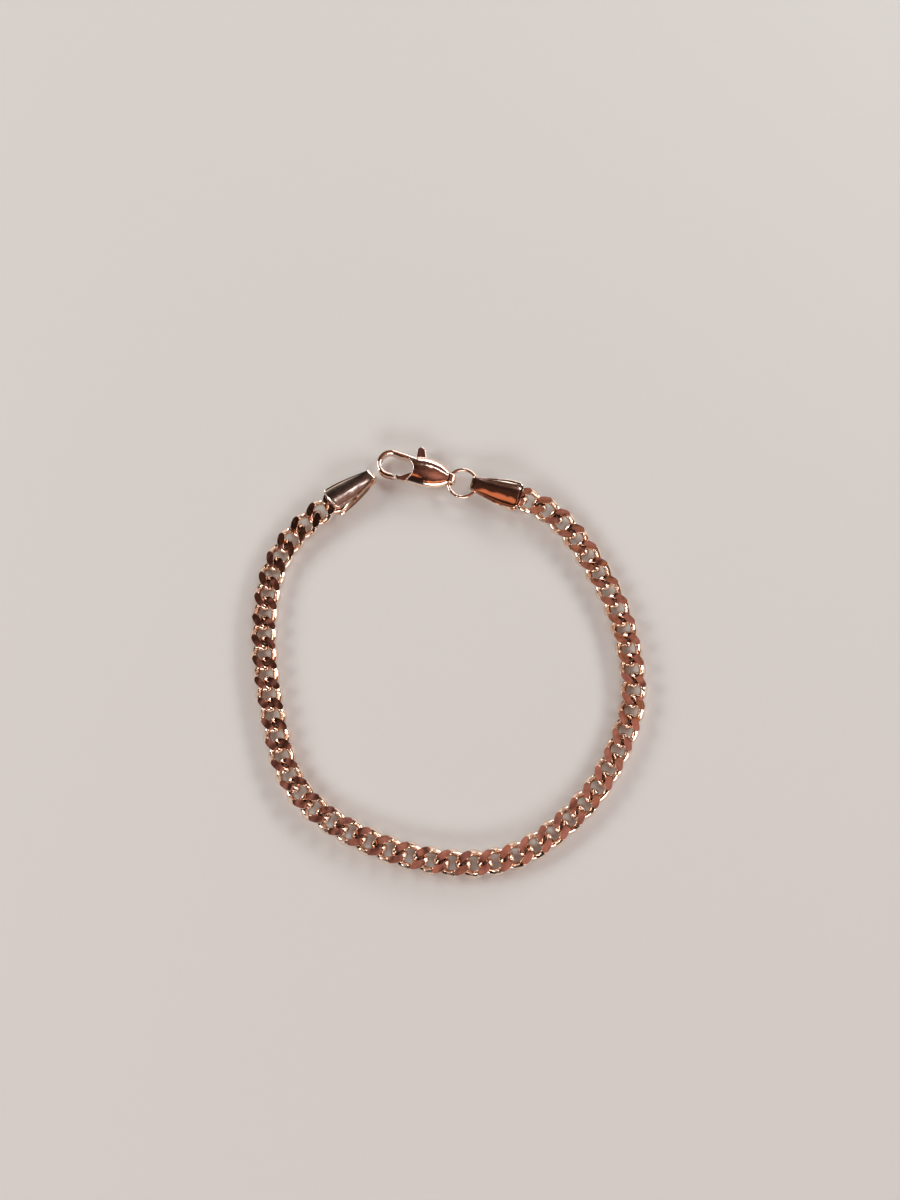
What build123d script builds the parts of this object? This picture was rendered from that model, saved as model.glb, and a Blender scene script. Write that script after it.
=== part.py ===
from build123d import *
from math import asin, atan2, cos, degrees, hypot, pi, radians, sin, sqrt, tan
import os

# A flat curb chain bracelet that lies open on a flat surface, in millimetres.
# +Z is up, the surface is z = 0, and the origin is under the middle of the
# bracelet's box. The loose end with its folded cap is at the left, and the
# lobster clasp hangs on its jump ring at the right end cap.

# Curb link: round wire bent to an oval and twisted about the chain's line. The
# ease says how much of the oval's side takes up the twist, and the leaf shares
# say where the cut flats lie on the oval's half length and half width.
LINK_WIRE = 1.00
LINK_HOLE_LENGTH = 3.52
HOLE_PLAY = 0.22
LINK_TWIST = 41.0
TWIST_EASE = 0.6
LINK_PLAY = 0.265
CHAIN_THICKNESS = 1.76
LEAF_ALONG_SHARE = 0.56
LEAF_SIDE_SHARE = 0.70
LINK_COUNT = 48
LINK_STATIONS = 16
WIRE_SIDES = 6

# Folded end cap: two domed plates joined by a fold at the tip
CAP_LENGTH = 8.65
CAP_SHEET = 0.35
CAP_SIDE_PLAY = 0.0
CAP_LINK_DEPTH = 1.75
CAP_DOME = 0.50
MOUTH_FLARE = 1.60
FOLD_WIDTH = 1.9
SOLDER_BITE = 0.05
LEFT_CAP_PITCH = 3.0
RIGHT_CAP_PITCH = 1.2
LEFT_CAP_ROLL = 14.0
RIGHT_CAP_ROLL = -4.0
RAMP_LINKS = 5

# Jump ring
RING_OUTSIDE = 5.15
RING_WIRE = 0.60
RING_PLAY = 0.21
RING_SEAT_GAP = 0.60

# Lobster clasp. In its own plan x runs to the tail and y to the thumb tab, and
# the eye lies behind the plan's zero by the first of the eye's sizes.
BARREL_LENGTH = 7.0
BARREL_WIDTH = 4.9
BARREL_HEIGHT = 2.7
EYE_BEHIND = 6.0
EYE_SIDE = -0.25
EYE_WIDTH = 1.6
EYE_WALL = 0.42
EYE_PLAY = 0.27
EYE_ROUND = 0.25
HOOK_OUTSIDE = 4.95
HOOK_ARM = 1.08
HOOK_THICKNESS = 1.7
HOOK_AHEAD = 3.70
HOOK_SIDE = 0.06
MOUTH_RADIUS = 1.80
MOUTH_AHEAD = 1.8
MOUTH_SIDE = -0.42

# Clasp lever: a flat gate with a thumb tab, on a rivet
LEVER_THICKNESS = 0.9
LEVER_SIDE_PLAY = 0.10
LEVER_GAP = 0.12
LEVER_HUB = 1.9
LEVER_OPENING = 25.0
GATE_WIDTH = 0.80
GATE_REACH = 4.35
WEB_FROM = 214.0
WEB_TO = 232.0
TAB_LEAN = 103.0
TAB_REACH = 3.58
TAB_TOP = 1.25
TAB_BASE = 1.6
TAB_BASE_REACH = 1.6
PIN_DIAMETER = 0.70
PIN_RUNNING_GAP = 0.05
PIN_SEAT_GAP = 0.02
PIN_RECESS = 0.06
PIN_COVER = 0.30
PIVOT_BEHIND = 1.2
PIVOT_SIDE = 0.4

# Directions in the plan, in degrees, of the ring from the right cap's fold, of
# the clasp's eye from the ring's centre, and of the clasp's own length
RING_ON_CAP = 171.0
CLASP_ON_RING = 160.5
CLASP_AXIS = 167.0

# Plan route of the chain, from the left cap's link round to the right cap's
# link, in millimetres. It is scaled as a whole to the length of the chain.
CHAIN_ROUTE = [
    (-17.6, 16.45), (-20.2, 14.5), (-22.9, 12.25), (-25.8, 8.9), (-28.0, 4.2),
    (-28.95, -2.6), (-28.8, -9.1), (-27.85, -15.25), (-26.6, -21.2), (-24.75, -27.2),
    (-21.05, -32.2), (-15.9, -35.75), (-9.05, -38.9), (-1.7, -40.6), (4.4, -40.9),
    (10.4, -39.5), (16.8, -35.3), (22.1, -29.85), (25.8, -23.35), (28.2, -16.2),
    (27.9, -8.7), (26.2, -1.55), (23.0, 5.05), (19.8, 10.2), (16.7, 13.65),
    (13.0, 15.9), (11.25, 16.5), (9.65, 17.0),
]

# Sizes that follow
wire_radius = LINK_WIRE / 2
hole_width = 2 * LINK_WIRE + HOLE_PLAY
half_length = (LINK_HOLE_LENGTH + LINK_WIRE) / 2
half_width = (hole_width + LINK_WIRE) / 2
link_width = hole_width + 2 * LINK_WIRE
link_length = LINK_HOLE_LENGTH + 2 * LINK_WIRE
pitch = LINK_HOLE_LENGTH - LINK_PLAY
flat_height = CHAIN_THICKNESS / 2

ring_radius = (RING_OUTSIDE - RING_WIRE) / 2
fold_bore = RING_WIRE + 2 * RING_PLAY
fold_radius = fold_bore / 2 + CAP_SHEET
cap_width = link_width + 2 * CAP_SIDE_PLAY
cap_tip = CAP_LENGTH - CAP_LINK_DEPTH
fold_x = cap_tip - fold_radius
leaf_side = LEAF_SIDE_SHARE * half_width
leaf_drop = CAP_DOME * (2 * leaf_side / cap_width) ** 2
grip_half_height = flat_height - SOLDER_BITE + leaf_drop + CAP_SHEET
mouth_half_height = fold_radius + MOUTH_FLARE * (grip_half_height - fold_radius)

eye_bore = RING_WIRE + 2 * EYE_PLAY
eye_diameter = eye_bore + 2 * EYE_WALL
hook_radius = (HOOK_OUTSIDE - HOOK_ARM) / 2
slot_height = LEVER_THICKNESS + 2 * LEVER_SIDE_PLAY
hub_radius = LEVER_HUB / 2
pin_radius = PIN_DIAMETER / 2
pivot = Vector(PIVOT_BEHIND, PIVOT_SIDE)
barrel_skin = BARREL_HEIGHT / 2 * sqrt(1 - (2 * PIVOT_SIDE / BARREL_WIDTH) ** 2)
pin_cover = barrel_skin - PIN_COVER
gate_side = HOOK_SIDE - hook_radius


def link_roll(turn):
    """Lean of the oval at one turn round it, from one end's to the other's."""
    lean = cos(turn)
    return -radians(LINK_TWIST) * lean * hypot(1, TWIST_EASE) / hypot(lean, TWIST_EASE)


def link_section(station):
    """Corners of the wire's section at one station round the oval."""
    turn = 2 * pi * station / LINK_STATIONS
    x = half_length * cos(turn)
    across = half_width * sin(turn)
    roll = link_roll(turn)
    out_x = half_width * cos(turn)
    out_y = half_length * sin(turn)
    size = hypot(out_x, out_y)
    outward = Vector(out_x / size, cos(roll) * out_y / size, sin(roll) * out_y / size)
    upward = Vector(0, -sin(roll), cos(roll))
    centre = Vector(x, across * cos(roll), across * sin(roll))
    corners = []
    for side in range(WIRE_SIDES):
        angle = 2 * pi * (side + 0.5) / WIRE_SIDES
        corners.append(centre + outward * (wire_radius * cos(angle)) + upward * (wire_radius * sin(angle)))
    return corners


def curb_link():
    """One link about its own centre, long side along x, with its cut flats."""
    rings = [link_section(station) for station in range(LINK_STATIONS)]
    faces = []
    for station in range(LINK_STATIONS):
        here = rings[station]
        there = rings[(station + 1) % LINK_STATIONS]
        for side in range(WIRE_SIDES):
            after = (side + 1) % WIRE_SIDES
            faces.append(Face(Wire.make_polygon([here[side], there[side], there[after]])))
            faces.append(Face(Wire.make_polygon([here[side], there[after], here[after]])))
    twisted = Solid(Shell(faces))
    slab = Box(2 * link_length, 2 * link_width, CHAIN_THICKNESS)
    return (twisted & slab).solid()


def route_curve():
    """Smooth plan curve of the chain, scaled to the chain's own length."""
    curve = Spline(*CHAIN_ROUTE)
    return curve.scale((LINK_COUNT + 1) * pitch / curve.length)


def ramp(steps):
    """Share of a cap's height and roll that is left some links away from it."""
    return max(0.0, 1 - steps / RAMP_LINKS) ** 2


def hinge_points(left_link, right_link):
    """Crossing points of neighbouring links, with both caps' links given in z."""
    curve = route_curve()
    left_rise = left_link + pitch / 2 * sin(radians(LEFT_CAP_PITCH)) - flat_height
    right_rise = right_link + pitch / 2 * sin(radians(RIGHT_CAP_PITCH)) - flat_height
    points = []
    for index in range(LINK_COUNT + 1):
        point = curve.position_at((index + 0.5) / (LINK_COUNT + 1))
        rise = left_rise * ramp(index) + right_rise * ramp(LINK_COUNT - index)
        points.append(Vector(point.X, point.Y, flat_height + rise))
    first = curve.position_at(0)
    last = curve.position_at(1)
    return [Vector(first.X, first.Y, left_link)] + points + [Vector(last.X, last.Y, right_link)]


def span_frame(start, end, centre, roll):
    """Frame with x from start to end, y in the plan, and a roll about x."""
    way = end - start
    turn = degrees(atan2(way.Y, way.X))
    slope = degrees(atan2(way.Z, hypot(way.X, way.Y)))
    return Pos(centre) * Rot(0, 0, turn) * Rot(0, -slope, 0) * Rot(roll, 0, 0)


def link_frames(left_link, right_link):
    """Frame of every link, the two soldered ones first and last."""
    points = hinge_points(left_link, right_link)
    frames = [span_frame(points[0], points[1], points[0], LEFT_CAP_ROLL)]
    for index in range(1, LINK_COUNT + 1):
        start = points[index]
        end = points[index + 1]
        roll = LEFT_CAP_ROLL * ramp(index) + RIGHT_CAP_ROLL * ramp(LINK_COUNT + 1 - index)
        frames.append(span_frame(start, end, (start + end) / 2, roll))
    frames.append(span_frame(points[-2], points[-1], points[-1], RIGHT_CAP_ROLL))
    return frames


# Cap plates from the mouth to the fold: how far along, the width and dome as
# shares of the mouth's, and the height as a share of the grip's, over the fold
CAP_SECTIONS = [
    {"along": 0.00, "width": 1.00, "height": MOUTH_FLARE, "dome": 1.00},
    {"along": 0.38, "width": 0.95, "height": 1.00, "dome": 1.00},
    {"along": 0.72, "width": 0.51, "height": 0.45, "dome": 0.60},
    {"along": 1.00, "width": 0.00, "height": 0.00, "dome": 0.04},
]


def plate_section(row, inset, overhang):
    """Closed lens section of the cap: two arcs joined by two side lines."""
    x = -CAP_LINK_DEPTH + row["along"] * (fold_x + CAP_LINK_DEPTH)
    half = (FOLD_WIDTH + row["width"] * (cap_width - FOLD_WIDTH)) / 2
    crown = fold_radius + row["height"] * (grip_half_height - fold_radius)
    dome = CAP_DOME * row["dome"]
    bend = (half ** 2 + dome ** 2) / (2 * dome)
    reach = half + overhang
    top = crown - inset
    low = top - (bend - sqrt(bend ** 2 - reach ** 2))
    over = [Vector(x, -reach, low), Vector(x, 0, top), Vector(x, reach, low)]
    under = [Vector(x, reach, -low), Vector(x, 0, -top), Vector(x, -reach, -low)]
    upper = ThreePointArc(*over)
    lower = ThreePointArc(*under)
    left = Line(over[2], under[0])
    right = Line(under[2], over[0])
    return Face(Wire([upper, left, lower, right]))


def cap_fold():
    """The sheet's half round at the tip, wrapped about the ring's wire."""
    sheet = Circle(fold_radius) - Circle(fold_radius - CAP_SHEET)
    sheet = sheet & Pos(fold_radius, 0) * Rectangle(2 * fold_radius, 2 * fold_radius)
    across = Plane(origin=(fold_x, 0, 0), x_dir=(1, 0, 0), z_dir=(0, -1, 0))
    return extrude(across * sheet, FOLD_WIDTH / 2, both=True)


def end_cap(link):
    """Cap with its soldered link, x to the tip, origin at the link's centre."""
    outside = loft([plate_section(row, 0, 0) for row in CAP_SECTIONS])
    inside = loft([plate_section(row, CAP_SHEET, CAP_SHEET) for row in CAP_SECTIONS])
    plates = outside - inside
    return (plates + cap_fold() + link).solid()


def jump_ring():
    """Soldered ring of round wire, flat about its own centre."""
    return Torus(ring_radius, RING_WIRE / 2)


# Clasp barrel from its open front to the eye: how far along, the width and
# height as shares of the barrel's, and the side step as a share of the eye's
BARREL_SECTIONS = [
    {"along": 0.00, "width": 0.93, "height": 0.86, "side": 0.0},
    {"along": 0.28, "width": 0.99, "height": 0.99, "side": 0.0},
    {"along": 0.55, "width": 1.00, "height": 1.00, "side": 0.0},
    {"along": 0.82, "width": 0.77, "height": 0.88, "side": 0.4},
    {"along": 1.00, "width": 0.40, "height": 0.66, "side": 1.0},
]


def barrel():
    """Solid barrel of the clasp with its eye, before the slot is cut."""
    sections = []
    for row in BARREL_SECTIONS:
        x = EYE_BEHIND - (1 - row["along"]) * BARREL_LENGTH
        place = Plane(origin=(x, row["side"] * EYE_SIDE, 0), x_dir=(0, 1, 0), z_dir=(1, 0, 0))
        oval = Ellipse(row["width"] * BARREL_WIDTH / 2, row["height"] * BARREL_HEIGHT / 2)
        sections.append(place * oval)
    eye = Rot(90, 0, 0) * Cylinder(eye_diameter / 2, EYE_WIDTH)
    eye = Pos(EYE_BEHIND, EYE_SIDE) * fillet(eye.edges().filter_by(GeomType.CIRCLE), EYE_ROUND)
    return loft(sections) + eye


def hook():
    """Hook arm of oval section: root in the barrel, half round, and tip."""
    oval = Ellipse(HOOK_ARM / 2, HOOK_THICKNESS / 2)
    start = Plane(origin=(-HOOK_AHEAD, HOOK_SIDE + hook_radius, 0), x_dir=(0, 1, 0), z_dir=(-1, 0, 0))
    bend = revolve(start * oval, Axis((-HOOK_AHEAD, HOOK_SIDE, 0), (0, 0, 1)), 180)
    end = Plane(origin=(-HOOK_AHEAD, gate_side, 0), x_dir=(0, 1, 0), z_dir=(1, 0, 0))
    tip = extrude(end * oval, HOOK_AHEAD - MOUTH_AHEAD)
    tip = tip - Pos(pivot) * Cylinder(GATE_REACH + LEVER_GAP, BARREL_HEIGHT)
    arm = loft([start * oval] + [arm_section(row) for row in ARM_SECTIONS])
    return bend + tip + arm


# Arm of the hook behind its half round: how far from the hook's centre to the
# pivot, the way across as a share of the hook's, and the size of its oval
ARM_SECTIONS = [
    {"along": 0.40, "side": 0.86, "width": 1.15, "height": 1.05},
    {"along": 1.00, "side": 0.60, "width": 1.25, "height": 1.15},
]


def arm_section(row):
    """Oval section of the arm between the half round and the barrel."""
    x = -HOOK_AHEAD + row["along"] * (HOOK_AHEAD + PIVOT_BEHIND)
    y = HOOK_SIDE + row["side"] * hook_radius
    oval = Ellipse(row["width"] * HOOK_ARM / 2, row["height"] * HOOK_THICKNESS / 2)
    return Plane(origin=(x, y, 0), x_dir=(0, 1, 0), z_dir=(-1, 0, 0)) * oval


def in_plan(reach, direction):
    """Level step of one length in one plan direction."""
    return Vector(reach * cos(radians(direction)), reach * sin(radians(direction)))


def sector(first, last, reach):
    """Plan sector about the pivot between two directions, in degrees."""
    middle = (first + last) / 2
    corners = [polar(reach, first), polar(reach, middle), polar(reach, last)]
    edge = ThreePointArc(*corners)
    sides = [Line(corners[2], pivot), Line(pivot, corners[0])]
    return Face(Wire([edge] + sides))


def polar(reach, direction):
    """Point at a distance and plan direction from the pivot."""
    return pivot + in_plan(reach, direction)


def direction_to(x, y):
    """Direction from the pivot to a plan point, from 0 to 360 degrees."""
    return degrees(atan2(y - pivot.Y, x - pivot.X)) % 360


def lever_slot():
    """Room in the barrel for the lever at every angle it can take."""
    margin = degrees(LEVER_GAP / hub_radius)
    gate_top = gate_side + GATE_WIDTH / 2
    gate_end = pivot.X - sqrt(GATE_REACH ** 2 - (pivot.Y - gate_top) ** 2)
    inner = direction_to(gate_end, gate_top) - LEVER_OPENING - margin / 2
    half_tab = degrees(asin(TAB_BASE / 2 / TAB_BASE_REACH)) + margin
    reach = 2 * BARREL_WIDTH
    plan = Pos(pivot) * Circle(hub_radius + LEVER_GAP)
    plan = plan + sector(inner, WEB_TO + margin / 2, reach)
    plan = plan + sector(TAB_LEAN - half_tab - LEVER_OPENING, TAB_LEAN + half_tab, reach)
    return extrude(plan, slot_height / 2, both=True)


def clasp_body():
    """Cast clasp: barrel, hook and eye, with the mouth and the lever's slot."""
    body = barrel() + hook()
    body = body - Pos(-MOUTH_AHEAD, MOUTH_SIDE) * Cylinder(MOUTH_RADIUS, 2 * BARREL_HEIGHT)
    body = body - lever_slot()
    body = body - pin_round(pin_radius + PIN_SEAT_GAP, -BARREL_HEIGHT, pin_cover)
    bore = Rot(90, 0, 0) * Cylinder(eye_bore / 2, 2 * EYE_WIDTH)
    return body - Pos(EYE_BEHIND, EYE_SIDE) * bore


def clasp_lever():
    """Flat lever: hub, web, gate and thumb tab, with its bore."""
    gate_top = gate_side + GATE_WIDTH / 2
    gate_low = gate_side - GATE_WIDTH / 2
    hub = Pos(pivot) * Circle(hub_radius)
    web_top = pivot.X + (gate_top - pivot.Y) / tan(radians(WEB_FROM))
    web_low = pivot.X + (gate_low - pivot.Y) / tan(radians(WEB_TO))
    corners = [
        pivot,
        Vector(web_top, gate_top),
        Vector(pivot.X - GATE_REACH, gate_top),
        Vector(pivot.X - GATE_REACH, gate_low),
        Vector(web_low, gate_low),
    ]
    gate = make_face(Polyline(*corners, close=True)) & Pos(pivot) * Circle(GATE_REACH)
    base = Pos(polar(TAB_BASE_REACH, TAB_LEAN)) * Circle(TAB_BASE / 2)
    top = Pos(polar(TAB_REACH - TAB_TOP / 2, TAB_LEAN)) * Circle(TAB_TOP / 2)
    tab = make_hull(base.edges() + top.edges())
    plan = hub + gate + tab - Pos(pivot) * Circle(pin_radius + PIN_RUNNING_GAP)
    return extrude(plan, LEVER_THICKNESS / 2, both=True)


def pin_round(radius, low, high):
    """Upright round on the pivot, between two heights."""
    return Pos(pivot.X, pivot.Y, (low + high) / 2) * Cylinder(radius, high - low)


def lever_pin():
    """Plain rivet, driven in from below and covered on top."""
    return pin_round(pin_radius, PIN_RECESS - barrel_skin, pin_cover - PIN_SEAT_GAP)


def cap_height(tilt, roll):
    """Height of a cap's link when the mouth of the cap rests on the surface."""
    bend = ((cap_width / 2) ** 2 + CAP_DOME ** 2) / (2 * CAP_DOME)
    lift = bend - (bend - mouth_half_height) * cos(radians(roll))
    return lift * cos(radians(tilt)) - CAP_LINK_DEPTH * sin(radians(tilt))


def assembly():
    """Every node where it lies, before the origin is set."""
    link = curb_link()
    left_height = cap_height(LEFT_CAP_PITCH, LEFT_CAP_ROLL)
    right_height = cap_height(RIGHT_CAP_PITCH, RIGHT_CAP_ROLL)
    frames = link_frames(left_height, right_height)
    cap = end_cap(link)
    left_frame = frames[0] * Rot(0, 0, 180)
    right_frame = frames[-1]
    seat = cap_tip - CAP_SHEET - RING_SEAT_GAP - RING_WIRE / 2
    wire = (right_frame * Pos(seat, 0, 0)).position
    ring_centre = wire + in_plan(ring_radius, RING_ON_CAP)
    eye = ring_centre + in_plan(ring_radius - EYE_PLAY / 2, CLASP_ON_RING)
    body = clasp_body()
    clasp_place = Pos(eye.X, eye.Y, -body.bounding_box().min.Z) * Rot(0, 0, CLASP_AXIS - 180)
    clasp_place = clasp_place * Pos(-EYE_BEHIND, -EYE_SIDE, 0)
    nodes = {
        "curb_chain": Compound(children=[link.moved(frame) for frame in frames[1:-1]]),
        "left_end_cap": cap.moved(left_frame),
        "right_end_cap": cap.moved(right_frame),
        "jump_ring": Pos(ring_centre) * jump_ring(),
        "clasp_body": clasp_place * body,
        "clasp_lever": clasp_place * clasp_lever(),
        "lever_pin": clasp_place * lever_pin(),
    }
    low_leaf = Pos(LEAF_ALONG_SHARE * half_length, leaf_side, -flat_height)
    points = {
        "lever pivot": (clasp_place * Pos(pivot)).position,
        "free cap eye": (left_frame * Pos(fold_x, 0, 0)).position,
        "ring centre": ring_centre,
        "hook centre": (clasp_place * Pos(-HOOK_AHEAD, HOOK_SIDE)).position,
        "flat under the middle link": (frames[LINK_COUNT // 2] * low_leaf).position,
    }
    return nodes, points


def main():
    os.makedirs("parts", exist_ok=True)
    nodes, points = assembly()
    box = Compound(list(nodes.values())).bounding_box()
    shift = Pos(-box.center().X, -box.center().Y, -box.min.Z)
    print("size", box.size, "lowest", box.min.Z)
    for name, point in points.items():
        print(name, (shift * Pos(point)).position)
    for name, shape in nodes.items():
        placed = shape.moved(shift)
        export_step(placed, "parts/" + name + ".step")
        print(name, len(placed.solids()), placed.volume, placed.is_valid)


main()
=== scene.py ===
# %% [markdown]
# # A curb chain bracelet
# The bracelet lies open on a pale table: a flat chain of twisted links, a folded
# cap on each end, a jump ring and a lobster clasp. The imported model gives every
# piece its place and size, and this notebook gives the pieces their finish.

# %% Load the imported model
import bpy
import math
import numpy as np
from mathutils import Matrix, Vector


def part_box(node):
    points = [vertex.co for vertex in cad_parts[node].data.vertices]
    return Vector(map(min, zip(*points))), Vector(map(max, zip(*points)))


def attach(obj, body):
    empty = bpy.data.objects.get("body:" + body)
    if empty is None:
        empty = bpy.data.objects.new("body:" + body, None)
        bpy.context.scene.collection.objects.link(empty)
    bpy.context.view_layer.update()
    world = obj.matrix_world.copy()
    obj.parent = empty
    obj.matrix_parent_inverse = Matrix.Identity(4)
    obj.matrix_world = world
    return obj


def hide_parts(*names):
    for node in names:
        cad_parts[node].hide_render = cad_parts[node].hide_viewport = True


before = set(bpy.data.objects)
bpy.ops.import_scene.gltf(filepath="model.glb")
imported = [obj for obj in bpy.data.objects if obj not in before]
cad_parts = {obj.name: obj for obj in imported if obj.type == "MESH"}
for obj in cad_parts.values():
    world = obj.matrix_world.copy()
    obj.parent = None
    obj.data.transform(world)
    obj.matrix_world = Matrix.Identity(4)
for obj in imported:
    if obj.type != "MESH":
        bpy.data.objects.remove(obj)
scene = bpy.context.scene
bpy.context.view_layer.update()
MM = 0.001

# %% [markdown]
# ## Camera
# The bracelet was seen from almost straight above, 14.5 degrees off the
# vertical, from about a quarter of a metre. A lens of 48 mm on a frame 36 mm
# high keeps the far side of the loop a little smaller, as it was seen.

# %% Camera
VIEW_TARGET = Vector((0.343, 8.933, 0.906)) * MM
VIEW_DISTANCE = 250.4 * MM
VIEW_TILT = math.radians(14.5)

view_back = Vector((0, -math.sin(VIEW_TILT), math.cos(VIEW_TILT)))
camera = bpy.data.objects.new("camera", bpy.data.cameras.new("camera"))
scene.collection.objects.link(camera)
camera.data.lens = 48
camera.data.sensor_width = 36
camera.data.clip_start = 1 * MM
camera.location = VIEW_TARGET + view_back * VIEW_DISTANCE
camera.rotation_euler = (-view_back).to_track_quat("-Z", "Y").to_euler()
scene.camera = camera
print("camera at", tuple(round(value, 4) for value in camera.location))

# %% [markdown]
# ## Sums that build nodes
# Shapes and finishes below are both made of nodes. Node sums are easier to read
# as plain Python, so `Value` wraps a socket and turns +, -, * and the like into
# Math nodes. `Tree` makes every other node. One class serves both kinds of tree.

# %% Values in a node tree
class Value:
    """A number, vector or colour in a node tree that works in Python sums."""

    def __init__(self, tree, socket):
        self.tree = tree
        self.socket = socket

    def __add__(self, other):
        return self.tree.math("ADD", self, other)

    def __radd__(self, other):
        return self.tree.math("ADD", other, self)

    def __sub__(self, other):
        return self.tree.math("SUBTRACT", self, other)

    def __rsub__(self, other):
        return self.tree.math("SUBTRACT", other, self)

    def __mul__(self, other):
        return self.tree.math("MULTIPLY", self, other)

    def __rmul__(self, other):
        return self.tree.math("MULTIPLY", other, self)

    def __truediv__(self, other):
        return self.tree.math("DIVIDE", self, other)

    def __neg__(self):
        return self.tree.math("MULTIPLY", self, -1)

    def __gt__(self, other):
        return self.tree.math("GREATER_THAN", self, other)

    def __lt__(self, other):
        return self.tree.math("LESS_THAN", self, other)

    def cos(self):
        return self.tree.math("COSINE", self)

    def sin(self):
        return self.tree.math("SINE", self)

    def root(self):
        return self.tree.math("SQRT", self)

    def at_least(self, low):
        return self.tree.math("MAXIMUM", self, low)

    def at_most(self, high):
        return self.tree.math("MINIMUM", self, high)


class Tree:
    """Adds nodes to one tree: a type, its settings, then its sockets."""

    def __init__(self, tree):
        self.tree = tree

    def add(self, kind, settings=None, sockets=None, output=0):
        node = self.tree.nodes.new(kind)
        for name, value in (settings or {}).items():
            if name == "stops":
                self.set_stops(node.color_ramp, value)
            else:
                setattr(node, name, value)
        for name, value in (sockets or {}).items():
            self.feed(node.inputs[name], value)
        return Value(self, node.outputs[output]) if node.outputs else None

    def math(self, operation, *values):
        return self.add("ShaderNodeMath", {"operation": operation}, dict(enumerate(values)))

    def split(self, vector):
        node = self.tree.nodes.new("ShaderNodeSeparateXYZ")
        self.feed(node.inputs[0], vector)
        return [Value(self, output) for output in node.outputs]

    def feed(self, socket, value):
        if isinstance(value, Value):
            self.tree.links.new(value.socket, socket)
        else:
            socket.default_value = value

    def set_stops(self, ramp, stops):
        while len(ramp.elements) < len(stops):
            ramp.elements.new(1.0)
        for element, (place, colour) in zip(ramp.elements, stops):
            element.position = place
            element.color = colour


print("node sums are ready")

# %% [markdown]
# ## Rose gold plate
# The whole bracelet is polished brass under pale rose gold. Real plate is never
# one flat tone: it warms where the polish is thin and carries hairline scratches
# that only show in its gloss. The links also get painted shade: their colour
# darkens deep in the chain's joints, where shade falls between the links. Hand
# polishing also leaves long shallow waves, which bend what the metal mirrors. So
# colour, roughness and bump all follow noise in the metal's own coordinates.
# The free cap is dragged over tables and skin, so its plate is worn duller.
# `crevice`, `cut` and `lane` are attributes that the links bring with them: how
# far a point lies in a joint of the chain, which sets the painted shade, whether
# it is on a diamond-cut flat, and how far along the link it lies, which sets the
# cutter's fine strokes.

# %% Rose gold finishes
PLATE_PALE = (0.95, 0.79, 0.69, 1)
PLATE_WARM = (0.93, 0.71, 0.58, 1)
# Painted shade: the dark colour that the links take deep in their joints
PAINTED_JOINT_SHADE = (0.48, 0.24, 0.16, 1)

# Noise and strokes to a metre of metal, and how the hairlines are turned
CLOUD_SCALE = 420.0
HAZE_SCALE = 1500.0
SWELL_SCALE = 450.0
HAIR_STRETCH = (9000.0, 700.0, 2500.0)
HAIR_TURN = (0.3, 0.2, 0.7)
STROKE_SCALE = 42000.0

# Depths of the scratches and of the polish's long waves
SCRATCH_DEPTH = 0.006 * MM
LINK_SWELL = 0.20 * MM
CAST_SWELL = 0.05 * MM


def plate_finish(name, gloss, haze, links=False, warmth=0.5):
    """Polished plate: gloss is its roughness, haze how much that varies."""
    material = bpy.data.materials.new(name)
    material.use_nodes = True
    material.node_tree.nodes.clear()
    tree = Tree(material.node_tree)
    place = tree.add("ShaderNodeTexCoord", output="Object")
    clouds, hazy, swell = [
        tree.add("ShaderNodeTexNoise", {}, {"Vector": place, "Scale": scale, "Detail": detail})
        for scale, detail in ((CLOUD_SCALE, 4.0), (HAZE_SCALE, 5.0), (SWELL_SCALE, 1.0))]
    stretched = tree.add(
        "ShaderNodeMapping", {},
        {"Vector": place, "Scale": HAIR_STRETCH, "Rotation": HAIR_TURN})
    hairs = tree.add("ShaderNodeTexNoise", {}, {"Vector": stretched, "Scale": 1.0, "Detail": 3.0})
    tint = (clouds * 3.6 - 1.8 + warmth).at_least(0).at_most(1)
    colour = tree.add(
        "ShaderNodeMix", {"data_type": "RGBA"},
        {0: tint, 6: PLATE_PALE, 7: PLATE_WARM}, output=2)
    roughness = gloss + haze * (hazy - 0.5) + 0.05 * (hairs - 0.5)
    height = hairs * 0.5 + hazy * 0.5
    wave = tree.add(
        "ShaderNodeBump", {},
        {"Height": swell, "Strength": 1.0, "Distance": LINK_SWELL if links else CAST_SWELL})
    if links:
        crevice, cut, lane = [
            tree.add("ShaderNodeAttribute", {"attribute_name": name}, output="Fac")
            for name in ("crevice", "cut", "lane")]
        # Painted shade: the colour darkens towards the dark joint colour deep in the chain's joints,
        # and the gloss dulls there too
        shade = (crevice * (0.35 + 0.5 * hazy)).at_least(0).at_most(1)
        colour = tree.add(
            "ShaderNodeMix", {"data_type": "RGBA"}, {0: shade, 6: colour, 7: PAINTED_JOINT_SHADE}, output=2)
        strokes = (lane * STROKE_SCALE + hairs * 2.0).sin()
        roughness = roughness - 0.06 * cut + 0.10 * shade
        height = height + cut * strokes * 0.25
    bump = tree.add(
        "ShaderNodeBump", {},
        {"Height": height, "Strength": 0.25, "Distance": SCRATCH_DEPTH, "Normal": wave})
    shader = tree.add(
        "ShaderNodeBsdfPrincipled", {},
        {"Base Color": colour, "Metallic": 1.0, "Roughness": roughness.at_least(0.05),
         "Normal": bump})
    tree.add("ShaderNodeOutputMaterial", {}, {"Surface": shader})
    return material


link_plate = plate_finish("rose_gold_links", 0.11, 0.07, links=True)
cap_plate = plate_finish("rose_gold_caps", 0.11, 0.08)
worn_plate = plate_finish("rose_gold_worn", 0.17, 0.12, warmth=0.6)
ring_plate = plate_finish("rose_gold_ring", 0.12, 0.06)
clasp_plate = plate_finish("rose_gold_clasp", 0.10, 0.06)
finishes = (link_plate, cap_plate, worn_plate, ring_plate, clasp_plate)
print("finishes", [material.name for material in finishes])

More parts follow.
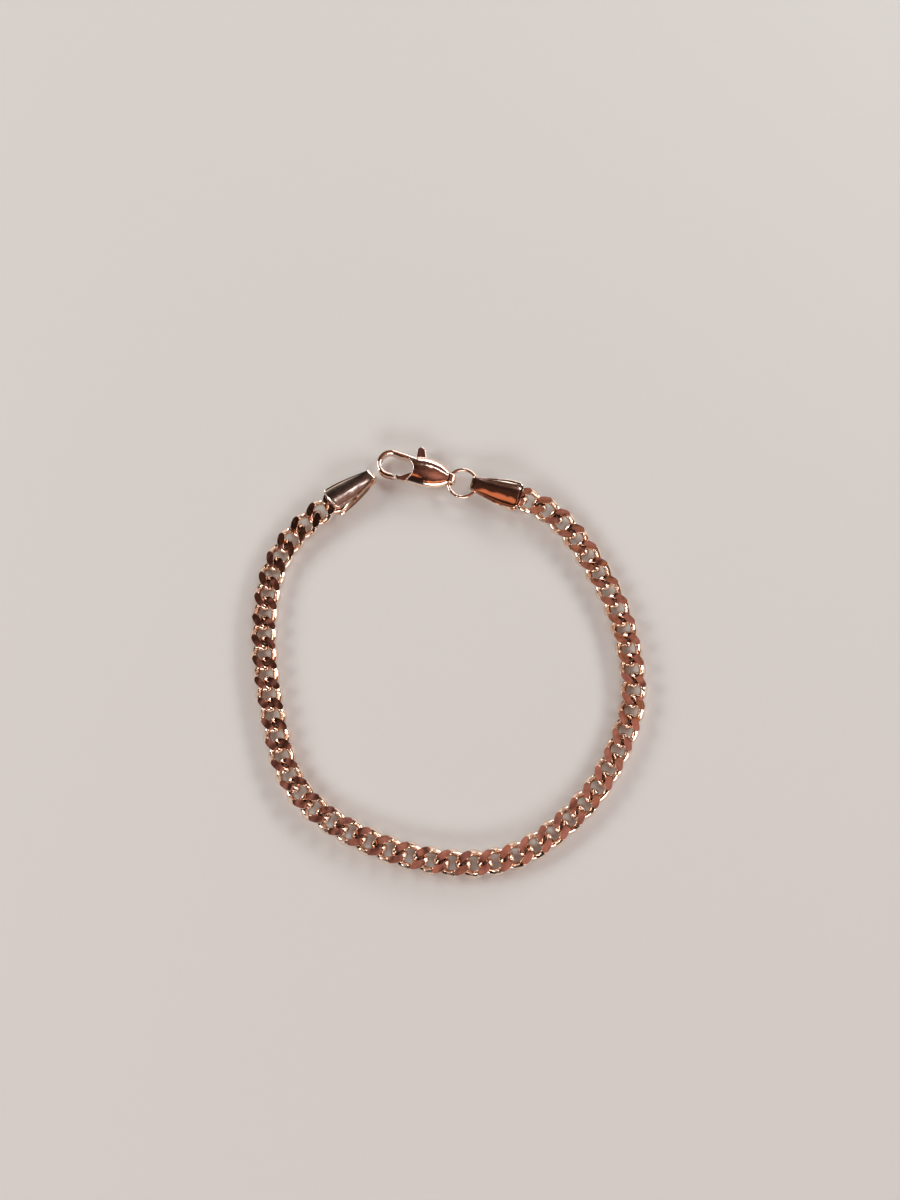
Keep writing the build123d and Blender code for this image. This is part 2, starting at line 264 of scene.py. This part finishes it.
# %% [markdown]
# ## Reading the chain's places
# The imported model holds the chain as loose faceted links. Each one says where it
# lies: its corners gather about its centre, and they spread most along the
# link, less across it and least through its thickness. So the three main
# directions of that spread are the link's own axes. A link looks the same after
# half a turn about any of them, so the sign of an axis doesn't matter.

# %% Find each link's place
def islands(mesh):
    """Corner positions of each loose solid in a mesh of loose triangles."""
    corners = np.array([vertex.co for vertex in mesh.vertices])
    _, first = np.unique(np.round(corners / (0.0005 * MM)), axis=0, return_inverse=True)
    first = first.reshape(-1)
    parent = list(range(first.max() + 1))

    def root(item):
        while parent[item] != item:
            parent[item] = parent[parent[item]]
            item = parent[item]
        return item

    for polygon in mesh.polygons:
        names = [root(first[index]) for index in polygon.vertices]
        for name in names[1:]:
            parent[name] = names[0]
    groups = {}
    for index, name in enumerate(first):
        groups.setdefault(root(name), {})[name] = corners[index]
    return [np.array(list(group.values())) for group in groups.values()]


def main_axes(points):
    """Rotation of a link from the directions in which its corners spread."""
    centred = points - points.mean(0)
    spread, axes = np.linalg.eigh(centred.T @ centred)
    along, across, through = axes[:, 2], axes[:, 1], axes[:, 0]
    if through[2] < 0:
        through = -through
    across = np.cross(through, along)
    return points.mean(0), Matrix(np.column_stack([along, across, through]))


chain_places = [main_axes(points) for points in islands(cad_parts["curb_chain"].data)]
print("links in the chain:", len(chain_places))

# %% [markdown]
# ## Curb links
# A curb link is an oval of round wire, twisted about the chain's line so that
# its ends lean opposite ways and it lies flat on its neighbours, and then ground
# flat on both faces. The ease spreads the twist: a small one turns the wire
# mostly along its sides, which brings the flats out towards the chain's edges.
# That is a rule, so Geometry Nodes make it. A grid is wrapped round
# the oval: one way runs along the wire, and the other round it. The wire's
# circle is cut off at the height of the flats, above and below, and rows of the
# grid end exactly on each cut, which keeps the edges of the flats crisp.
# One link is made and then put at every place that was read above. Its wire is a
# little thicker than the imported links' wire, as the real chain's holes are small,
# and still no two links touch. No link of a real chain lies quite level, so each
# is tipped by up to `Settle`, and the flats mirror different parts of the room.

# %% The link tree
LINK_SIZES = {
    "Wire Radius": 0.58 * MM,
    "Half Length": 2.33 * MM,
    "Half Width": 1.60 * MM,
    "Twist": math.radians(41),
    "Twist Ease": 0.6,
    "Cut Height": 0.88 * MM,
    "Settle": math.radians(0.8),
}
LINK_STATIONS = 40
FLAT_STEPS = 3
ARC_STEPS = 8
RING_STEPS = 2 * (FLAT_STEPS + ARC_STEPS)
CREASE = math.radians(28)
TIP_SEED = 7

# The least half angle of a flat, where the wire isn't cut, and what counts as one
FLAT_LEAST = 0.12
FLAT_COUNTS = 0.125


def step_share(tree, steps, first, last):
    """Rises from 0 to 1 between two steps round the wire."""
    return tree.add(
        "ShaderNodeMapRange", {}, {"Value": steps, "From Min": first, "From Max": last})


def cut_angle(size, height, slope):
    """Half the angle that a flat takes from the wire's circle."""
    share = (height / (size["Wire Radius"] * slope)).at_least(-0.99).at_most(0.99)
    return share.tree.math("ARCCOSINE", share).at_least(FLAT_LEAST)


def ground_round(size, steps, top, low):
    """Angle round the wire, reach from its middle, and whether a flat lies there."""
    edges = [0, FLAT_STEPS, FLAT_STEPS + ARC_STEPS, 2 * FLAT_STEPS + ARC_STEPS, RING_STEPS]
    parts = [step_share(steps.tree, steps, *pair) for pair in zip(edges, edges[1:])]
    angle = (2 * parts[0] - 1) * top + (parts[1] + parts[3]) * (math.pi - top - low)
    angle = angle + 2 * parts[2] * low
    above = top.cos() / angle.cos().at_least(0.01)
    below = low.cos() / (-angle.cos()).at_least(0.01)
    reach = size["Wire Radius"] * above.at_most(below).at_most(1)
    on_top = (parts[0] * (1 - parts[0]) > 0) * (top > FLAT_COUNTS)
    on_low = (parts[2] * (1 - parts[2]) > 0) * (low > FLAT_COUNTS)
    return angle, reach, on_top + on_low


def link_position(tree, size, turn, steps):
    """Point of the ground link at a turn round the oval and a step round the wire."""
    lean, ease = turn.cos(), size["Twist Ease"]
    roll = -size["Twist"] * lean * (1 + ease * ease).root() / (lean * lean + ease * ease).root()
    across = size["Half Width"] * turn.sin()
    out_x = size["Half Width"] * turn.cos()
    out_y = size["Half Length"] * turn.sin()
    length = (out_x * out_x + out_y * out_y).root()
    side_x = out_x / length
    side_y = out_y / length
    rise_out = roll.sin() * side_y
    rise_up = roll.cos()
    slope = (rise_out * rise_out + rise_up * rise_up).root()
    level = across * roll.sin()
    top = cut_angle(size, size["Cut Height"] - level, slope)
    low = cut_angle(size, size["Cut Height"] + level, slope)
    angle, reach, cut = ground_round(size, steps, top, low)
    heading = angle + tree.math("ARCTAN2", rise_up, rise_out)
    outward = reach * heading.cos()
    upward = reach * heading.sin()
    x = size["Half Length"] * turn.cos() + outward * side_x
    y = across * roll.cos() + outward * roll.cos() * side_y - upward * roll.sin()
    z = level + outward * roll.sin() * side_y + upward * roll.cos()
    point = tree.add("ShaderNodeCombineXYZ", {}, {"X": x, "Y": y, "Z": z})
    # How deep a point lies in a joint of the chain; the links' finish paints shade there
    crevice = turn.cos() * turn.cos() * (0.5 - 0.5 * heading.cos())
    return point, cut, crevice


def stored(tree, geometry, name, value):
    """Geometry that keeps a value at each corner under a name."""
    return tree.add(
        "GeometryNodeStoreNamedAttribute", {"data_type": "FLOAT", "domain": "POINT"},
        {"Geometry": geometry, "Name": name, "Value": value})


def ground_link(tree, size):
    """One link about the origin: a grid wrapped round the wire and closed."""
    grid = tree.add(
        "GeometryNodeMeshGrid", {},
        {"Size X": 1.0, "Size Y": 1.0, "Vertices X": LINK_STATIONS + 1, "Vertices Y": RING_STEPS + 1})
    along, around, _ = tree.split(tree.add("GeometryNodeInputPosition"))
    turn = (along + 0.5) * (2 * math.pi)
    steps = (around + 0.5) * RING_STEPS
    point, cut, crevice = link_position(tree, size, turn, steps)
    marked = stored(tree, stored(tree, grid, "cut", cut), "crevice", crevice)
    wrapped = tree.add("GeometryNodeSetPosition", {}, {"Geometry": marked, "Position": point})
    lane, _, _ = tree.split(tree.add("GeometryNodeInputPosition"))
    laned = stored(tree, wrapped, "lane", lane)
    closed = tree.add(
        "GeometryNodeMergeByDistance", {}, {"Geometry": laned, "Distance": 0.0001 * MM})
    angle = tree.add("GeometryNodeInputMeshEdgeAngle", output="Unsigned Angle")
    smooth = tree.add("GeometryNodeSetShadeSmooth", {"domain": "FACE"}, {"Geometry": closed})
    return tree.add(
        "GeometryNodeSetShadeSmooth", {"domain": "EDGE"},
        {"Geometry": smooth, "Shade Smooth": angle < CREASE})


def random_tip(tree, size, seed):
    """Small random turn of each link, half as much about its width as its length."""
    tips = [
        tree.add(
            "FunctionNodeRandomValue", {"data_type": "FLOAT"},
            {2: -size["Settle"], 3: size["Settle"], "Seed": seed + step}, output=1)
        for step in range(2)]
    return tree.add("ShaderNodeCombineXYZ", {}, {"X": tips[0], "Y": tips[1] * 0.5})


def link_tree():
    """Geometry Nodes: one ground link, put at each point with its rotation."""
    group = bpy.data.node_groups.new("curb_links", "GeometryNodeTree")
    interface = group.interface
    interface.new_socket("Places", in_out="INPUT", socket_type="NodeSocketGeometry")
    for name, size in LINK_SIZES.items():
        interface.new_socket(name, in_out="INPUT", socket_type="NodeSocketFloat").default_value = size
    interface.new_socket("Seed", in_out="INPUT", socket_type="NodeSocketInt").default_value = TIP_SEED
    interface.new_socket("Finish", in_out="INPUT", socket_type="NodeSocketMaterial")
    interface.new_socket("Links", in_out="OUTPUT", socket_type="NodeSocketGeometry")
    tree = Tree(group)
    node = group.nodes.new("NodeGroupInput")
    given = {output.name: Value(tree, output) for output in node.outputs if output.name}
    turned = tree.add(
        "GeometryNodeInputNamedAttribute", {"data_type": "QUATERNION"}, {"Name": "turn"})
    links = tree.add(
        "GeometryNodeInstanceOnPoints", {},
        {"Points": given["Places"], "Instance": ground_link(tree, given), "Rotation": turned})
    tip = random_tip(tree, given, given["Seed"])
    settled = tree.add("GeometryNodeRotateInstances", {}, {"Instances": links, "Rotation": tip})
    real = tree.add("GeometryNodeRealizeInstances", {}, {"Geometry": settled})
    tree.add("NodeGroupOutput", {}, {
        "Links": tree.add(
            "GeometryNodeSetMaterial", {}, {"Geometry": real, "Material": given["Finish"]})})
    return group


link_group = link_tree()
print("link tree nodes:", len(link_group.nodes))

# %% [markdown]
# The tree needs points that carry a rotation each. `lay_links` makes those
# points, runs the tree on them, and keeps the result as a plain mesh.

# %% Lay links at given places
def lay_links(name, places, finish, settle):
    """Mesh object of ground links at (centre, rotation) places, tipped by settle."""
    mesh = bpy.data.meshes.new(name)
    mesh.from_pydata([tuple(centre) for centre, _ in places], [], [])
    turns = mesh.attributes.new("turn", "QUATERNION", "POINT")
    for index, (_, rotation) in enumerate(places):
        turns.data[index].value = rotation.to_quaternion()
    holder = bpy.data.objects.new(name, mesh)
    scene.collection.objects.link(holder)
    modifier = holder.modifiers.new("links", "NODES")
    modifier.node_group = link_group
    values = {**LINK_SIZES, "Settle": settle, "Finish": finish}
    for item in link_group.interface.items_tree:
        if item.name in values:
            modifier[item.identifier] = values[item.name]
    result = bpy.data.meshes.new_from_object(
        holder.evaluated_get(bpy.context.evaluated_depsgraph_get()))
    holder.modifiers.remove(modifier)
    holder.data = result
    return holder


chain = lay_links("curb_links", chain_places, link_plate, LINK_SIZES["Settle"])
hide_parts("curb_chain")
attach(chain, "bracelet")
print("chain faces:", len(chain.data.polygons))

# %% [markdown]
# ## Folded end caps
# Each end of the chain sits in a cap: one strip of sheet, domed and tapered,
# folded over at its tip so that two plates hold the last link between them. The
# outside of the strip is a grid that runs from one mouth over the fold to the
# other. The press that cuts the sheet leaves a low rim with a fine groove inside
# it, which is where the bright line round a real cap comes from. The fold gets
# narrower towards its tip, and the mouth's corners are rounded. Solidify gives
# the strip the sheet's thickness inwards, and Bevel rounds its edges.

# %% The cap's strip
CAP_SHEET = 0.35 * MM
CAP_MOUTH = -1.75 * MM
FOLD_AT = 6.04 * MM
FOLD_RADIUS = 0.86 * MM
FOLD_WIDTH = 1.9 * MM
FOLD_ROUNDING = 0.72
MOUTH_WIDTH = 4.22 * MM
GRIP_HEIGHT = 1.323 * MM
CAP_DOME = 0.50 * MM
MOUTH_ROUNDING = 0.8 * MM
RIM_ROUNDING = 0.14 * MM
RIM_RISE = 0.05 * MM

# The rim and its groove, in half widths of the plate from its middle
RIM_AT = 0.97
GROOVE_AT = 0.85
RIM_BAND = 0.05
GROOVE_SHARE = 0.7

# How the plate changes from its mouth to the fold, as shares
PLATE_ALONG = (0.00, 0.38, 0.72, 1.00)
plate_shares = {
    "width": np.polyfit(PLATE_ALONG, (1.00, 0.95, 0.51, 0.00), 3),
    "height": np.polyfit(PLATE_ALONG, (1.60, 1.00, 0.45, 0.00), 3),
    "dome": np.polyfit(PLATE_ALONG, (1.00, 1.00, 0.60, 0.04), 3),
}


def rim_rise(along, side):
    """Height of the raised rim and of the fine groove inside it."""
    edge = np.maximum(np.abs(side), 1 - along * (FOLD_AT - CAP_MOUTH) / (MOUTH_WIDTH / 2))
    rim = np.exp(-((edge - RIM_AT) / RIM_BAND) ** 2)
    groove = np.exp(-((edge - GROOVE_AT) / RIM_BAND) ** 2)
    return RIM_RISE * (rim - GROOVE_SHARE * groove) * (1 - along ** 6)


def plate_row(along, side):
    """Points across the upper plate, for sides from -1 to 1."""
    share = {name: np.polyval(curve, along) for name, curve in plate_shares.items()}
    half = (FOLD_WIDTH + share["width"] * (MOUTH_WIDTH - FOLD_WIDTH)) / 2
    crown = FOLD_RADIUS + share["height"] * (GRIP_HEIGHT - FOLD_RADIUS)
    dome = CAP_DOME * share["dome"]
    bend = (half ** 2 + dome ** 2) / (2 * dome)
    y = half * side
    z = crown - bend + np.sqrt(bend ** 2 - y ** 2) + rim_rise(along, side)
    x = CAP_MOUTH + along * (FOLD_AT - CAP_MOUTH) + MOUTH_ROUNDING * side ** 6 * (1 - along) ** 2
    return np.column_stack([x, y, z])


def fold_row(angle, side):
    """Points across the fold at one angle round it, narrower towards its tip."""
    x = np.full_like(side, FOLD_AT + FOLD_RADIUS * math.cos(angle))
    z = np.full_like(side, FOLD_RADIUS * math.sin(angle))
    half = FOLD_WIDTH / 2 * math.sqrt(1 - (FOLD_ROUNDING * math.cos(angle)) ** 2)
    return np.column_stack([x, side * half, z])


def grid_mesh(name, rows):
    """Open mesh through rows of equally many points."""
    count = len(rows[0])
    faces = []
    for row in range(len(rows) - 1):
        for column in range(count - 1):
            first = row * count + column
            faces.append((first, first + count, first + count + 1, first + 1))
    mesh = bpy.data.meshes.new(name)
    mesh.from_pydata(np.concatenate(rows).tolist(), [], faces)
    return mesh


side = np.sin(np.linspace(-math.pi / 2, math.pi / 2, 33))
upper = [plate_row(along, side) for along in np.linspace(0, 1, 28) ** 1.4]
fold = [fold_row(angle, side) for angle in np.linspace(math.pi / 2, -math.pi / 2, 12)[1:-1]]
lower = [row * (1, 1, -1) for row in reversed(upper)]
strip = grid_mesh("cap_strip", upper + fold + lower)
print("cap strip:", len(strip.polygons), "faces, normal at the mouth", tuple(strip.polygons[0].normal))

# %% [markdown]
# `modified` adds modifiers to a mesh, runs them once and keeps the plain result.
# Every piece is finished this way, so nothing live is left in the scene.

# %% Finish a mesh with modifiers
def modified(mesh, steps):
    """Plain mesh after the modifiers in steps: (type, settings) pairs."""
    holder = bpy.data.objects.new("bench", mesh)
    scene.collection.objects.link(holder)
    for kind, settings in steps:
        modifier = holder.modifiers.new(kind.lower(), kind)
        for name, value in settings.items():
            setattr(modifier, name, value)
    result = bpy.data.meshes.new_from_object(
        holder.evaluated_get(bpy.context.evaluated_depsgraph_get()))
    bpy.data.objects.remove(holder)
    return result


def show(name, mesh, finish, node, body):
    """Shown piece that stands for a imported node, in its own place."""
    mesh.materials.clear()
    mesh.materials.append(finish)
    mesh.polygons.foreach_set("use_smooth", [True] * len(mesh.polygons))
    piece = bpy.data.objects.new(name, mesh)
    scene.collection.objects.link(piece)
    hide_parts(node)
    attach(piece, body)
    print(name, len(mesh.polygons), "faces")
    return piece


folded_cap = modified(strip, [
    ("SOLIDIFY", {"thickness": CAP_SHEET, "offset": -1, "use_even_offset": True}),
    ("BEVEL", {"width": RIM_ROUNDING, "segments": 3, "limit_method": "ANGLE",
               "angle_limit": math.radians(40)}),
    ("SUBSURF", {"levels": 1, "render_levels": 1}),
])

# %% [markdown]
# A cap's place is its last link's centre, the heading of its tip, and how far it
# slopes and rolls as it rests on the rim of its mouth. The link that is soldered
# into it comes from the same tree as the chain, and becomes part of the piece.

# %% Place the caps
CAP_PLACES = {
    "left_end_cap": ((-17.252, 25.378, 1.604), 36.717, -2.996, -14.0),
    "right_end_cap": ((9.990, 25.928, 1.576), 162.644, -1.200, -4.0),
}
CAP_FINISHES = {"left_end_cap": worn_plate, "right_end_cap": cap_plate}


def cap_place(centre, heading, slope, roll):
    """Matrix of a cap from millimetres and degrees."""
    turn = Matrix.Rotation(math.radians(heading), 4, "Z")
    turn = turn @ Matrix.Rotation(-math.radians(slope), 4, "Y")
    turn = turn @ Matrix.Rotation(math.radians(roll), 4, "X")
    return Matrix.Translation(Vector(centre) * MM) @ turn


for node, numbers in CAP_PLACES.items():
    place = cap_place(*numbers)
    plates = folded_cap.copy()
    plates.transform(place)
    cap = show(node + "_polished", plates, CAP_FINISHES[node], node, "bracelet")
    last_link = lay_links("last_link", [(place.translation, place.to_3x3())], link_plate, 0.0)
    with bpy.context.temp_override(
            active_object=cap, selected_editable_objects=[cap, last_link]):
        bpy.ops.object.join()
    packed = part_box(node)
    corners = np.array([vertex.co for vertex in cap.data.vertices])
    print(node, "off the packed box by", np.round((corners.min(0) - packed[0]) * 1000, 3),
          np.round((corners.max(0) - packed[1]) * 1000, 3))

# %% [markdown]
# ## Jump ring
# A jump ring is one turn of round wire. Its ends meet in a fine seam, which is
# soldered and shows as a shallow groove. The wire is swept round its circle with
# a radius that dips at the seam, closer stations standing there.

# %% The jump ring
RING_RADIUS = 2.275 * MM
RING_WIRE = 0.60 * MM
SEAM_AT = math.radians(250)
SEAM_DEPTH = 0.14
SEAM_WIDTH = 0.05
RING_SIDES = 20

ring_low, ring_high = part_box("jump_ring")
ring_centre = (ring_low + ring_high) / 2
spread = np.linspace(-1, 1, 141)[:-1]
stations = SEAM_AT + math.pi * np.sign(spread) * np.abs(spread) ** 1.6
ring_rows = []
for station in stations:
    away = math.remainder(station - SEAM_AT, 2 * math.pi)
    wire = RING_WIRE / 2 * (1 - SEAM_DEPTH * math.exp(-(away / SEAM_WIDTH) ** 2))
    turns = np.linspace(0, 2 * math.pi, RING_SIDES, endpoint=False)
    reach = RING_RADIUS + wire * np.cos(turns)
    ring_rows.append(np.column_stack(
        [reach * math.cos(station), reach * math.sin(station), wire * np.sin(turns)]) + ring_centre)
ring_faces = []
for row in range(len(ring_rows)):
    for column in range(RING_SIDES):
        here, there = row * RING_SIDES, (row + 1) % len(ring_rows) * RING_SIDES
        after = (column + 1) % RING_SIDES
        ring_faces.append((here + column, there + column, there + after, here + after))
ring = bpy.data.meshes.new("jump_ring_polished")
ring.from_pydata(np.concatenate(ring_rows).tolist(), [], ring_faces)
show("jump_ring_polished", ring, ring_plate, "jump_ring", "bracelet")

# %% [markdown]
# ## Lobster clasp
# The clasp is cast and then tumbled, so every edge of it is a little round. The
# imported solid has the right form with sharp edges. A copy of it is skinned with
# fine voxels, and a few rounds of smoothing wear the edges down as tumbling
# does. The lever is stamped and gets the same, with less smoothing.

# %% Cast and tumbled pieces
def tumbled(node, voxel, rounds):
    """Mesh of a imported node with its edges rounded, voxel in millimetres."""
    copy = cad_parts[node].data.copy()
    copy.transform(Matrix.Scale(1 / MM, 4))
    worn = modified(copy, [
        ("WELD", {"merge_threshold": 0.0005}),
        ("REMESH", {"mode": "VOXEL", "voxel_size": voxel, "use_smooth_shade": True}),
        ("SMOOTH", {"factor": 0.5, "iterations": rounds}),
    ])
    worn.transform(Matrix.Scale(MM, 4))
    return worn


show("clasp_body_tumbled", tumbled("clasp_body", 0.055, 12), clasp_plate,
     "clasp_body", "bracelet")
show("clasp_lever_tumbled", tumbled("clasp_lever", 0.045, 40), clasp_plate,
     "clasp_lever", "lever")
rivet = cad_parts["lever_pin"]
rivet.data.materials.clear()
rivet.data.materials.append(clasp_plate)

# %% [markdown]
# ## Table and light
# Polished metal shows its surroundings more than itself. A warm dark ceiling
# gives the flats on top their copper brown, and broad low lights at the sides
# give the bright cream edges that run along the wire. A room's ceiling isn't one
# even tone, so soft amber patches lie on it and each flat mirrors its own. A
# thin cool strip behind draws the pale streak on the clasp's barrel, and two
# small warm panels give the caps and the barrel their amber bands.

# %% Table and light
def softbox(name, place, size, power, colour):
    """Rectangular lamp that faces the bracelet."""
    lamp = bpy.data.lights.new(name, "AREA")
    lamp.shape = "RECTANGLE"
    lamp.size, lamp.size_y = size
    lamp.energy = power
    lamp.color = colour
    holder = bpy.data.objects.new(name, lamp)
    holder.location = place
    holder.rotation_euler = (-Vector(place)).to_track_quat("-Z", "Y").to_euler()
    scene.collection.objects.link(holder)
    return holder


# Name, place and size in metres, power in watts, colour
LAMPS = (
    ("lamp_right", (0.55, 0.25, 0.30), (0.40, 0.15), 1.6, (1.0, 0.98, 0.92)),
    ("lamp_left", (-0.55, 0.10, 0.28), (0.40, 0.20), 1.9, (1.0, 0.98, 0.92)),
    ("lamp_front", (0.05, -0.60, 0.28), (0.50, 0.16), 1.6, (1.0, 0.99, 0.96)),
    ("lamp_back", (0.25, 0.60, 0.24), (0.50, 0.12), 1.3, (1.0, 0.99, 0.96)),
    ("strip_far", (0.16, 0.35, 0.48), (0.34, 0.05), 0.20, (0.85, 0.93, 1.0)),
    ("panel_warm", (0.10, -0.33, 0.47), (0.5, 0.12), 0.16, (1.0, 0.34, 0.16)),
    ("panel_amber", (-0.205, -0.045, 0.53), (0.22, 0.10), 0.045, (1.0, 0.30, 0.13)),
)
for lamp in LAMPS:
    softbox(*lamp)

# Half the table's side in metres, and how far it lies below zero: the tipped
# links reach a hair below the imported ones, and the table is just under them
TABLE_HALF = 3
TABLE_DROP = 0.05 * MM
table = bpy.data.meshes.new("table")
table_signs = ((-1, -1), (1, -1), (1, 1), (-1, 1))
table_corners = [(TABLE_HALF * x, TABLE_HALF * y, -TABLE_DROP) for x, y in table_signs]
table.from_pydata(table_corners, [], [(0, 1, 2, 3)])
floor = bpy.data.objects.new("table", table)
scene.collection.objects.link(floor)
paper = bpy.data.materials.new("pale_table")
paper.use_nodes = True
paper.node_tree.nodes["Principled BSDF"].inputs["Base Color"].default_value = (0.84, 0.87, 0.88, 1)
paper.node_tree.nodes["Principled BSDF"].inputs["Roughness"].default_value = 0.7
table.materials.append(paper)

# Colours from the horizon at 0 to straight overhead at 1
CEILING_STOPS = (
    (0.00, (0.80, 0.78, 0.75, 1)),
    (0.08, (0.60, 0.56, 0.52, 1)),
    (0.25, (0.10, 0.07, 0.06, 1)),
    (0.60, (0.06, 0.032, 0.028, 1)),
    (0.92, (0.07, 0.03, 0.027, 1)),
    (0.96, (0.14, 0.057, 0.047, 1)),
    (1.00, (0.35, 0.155, 0.135, 1)),
)
AMBER = (0.24, 0.105, 0.055, 1)
PATCH_SCALE = 13.0

world = bpy.data.worlds.new("studio")
scene.world = world
world.use_nodes = True
world.node_tree.nodes.clear()
sky = Tree(world.node_tree)
direction = sky.add("ShaderNodeTexCoord", output="Generated")
rightward, _, upward = sky.split(direction)
ceiling = sky.add("ShaderNodeValToRGB", {"stops": CEILING_STOPS}, {"Fac": upward})
patches = sky.add(
    "ShaderNodeTexNoise", {}, {"Vector": direction, "Scale": PATCH_SCALE, "Detail": 2.0})
overhead = (4 * upward - 2).at_least(0).at_most(1)
amber = (patches * 12 - 6.2).at_least(0).at_most(1) * overhead
ceiling = sky.add(
    "ShaderNodeMix", {"data_type": "RGBA"}, {0: amber, 6: ceiling, 7: AMBER}, output=2)
brighter_right = (1 + 4.5 * rightward).at_least(0.25).at_most(1.6)
glow = sky.add("ShaderNodeBackground", {}, {"Color": ceiling, "Strength": brighter_right})
sky.add("ShaderNodeOutputWorld", {}, {"Surface": glow})
scene.view_settings.view_transform = "Standard"
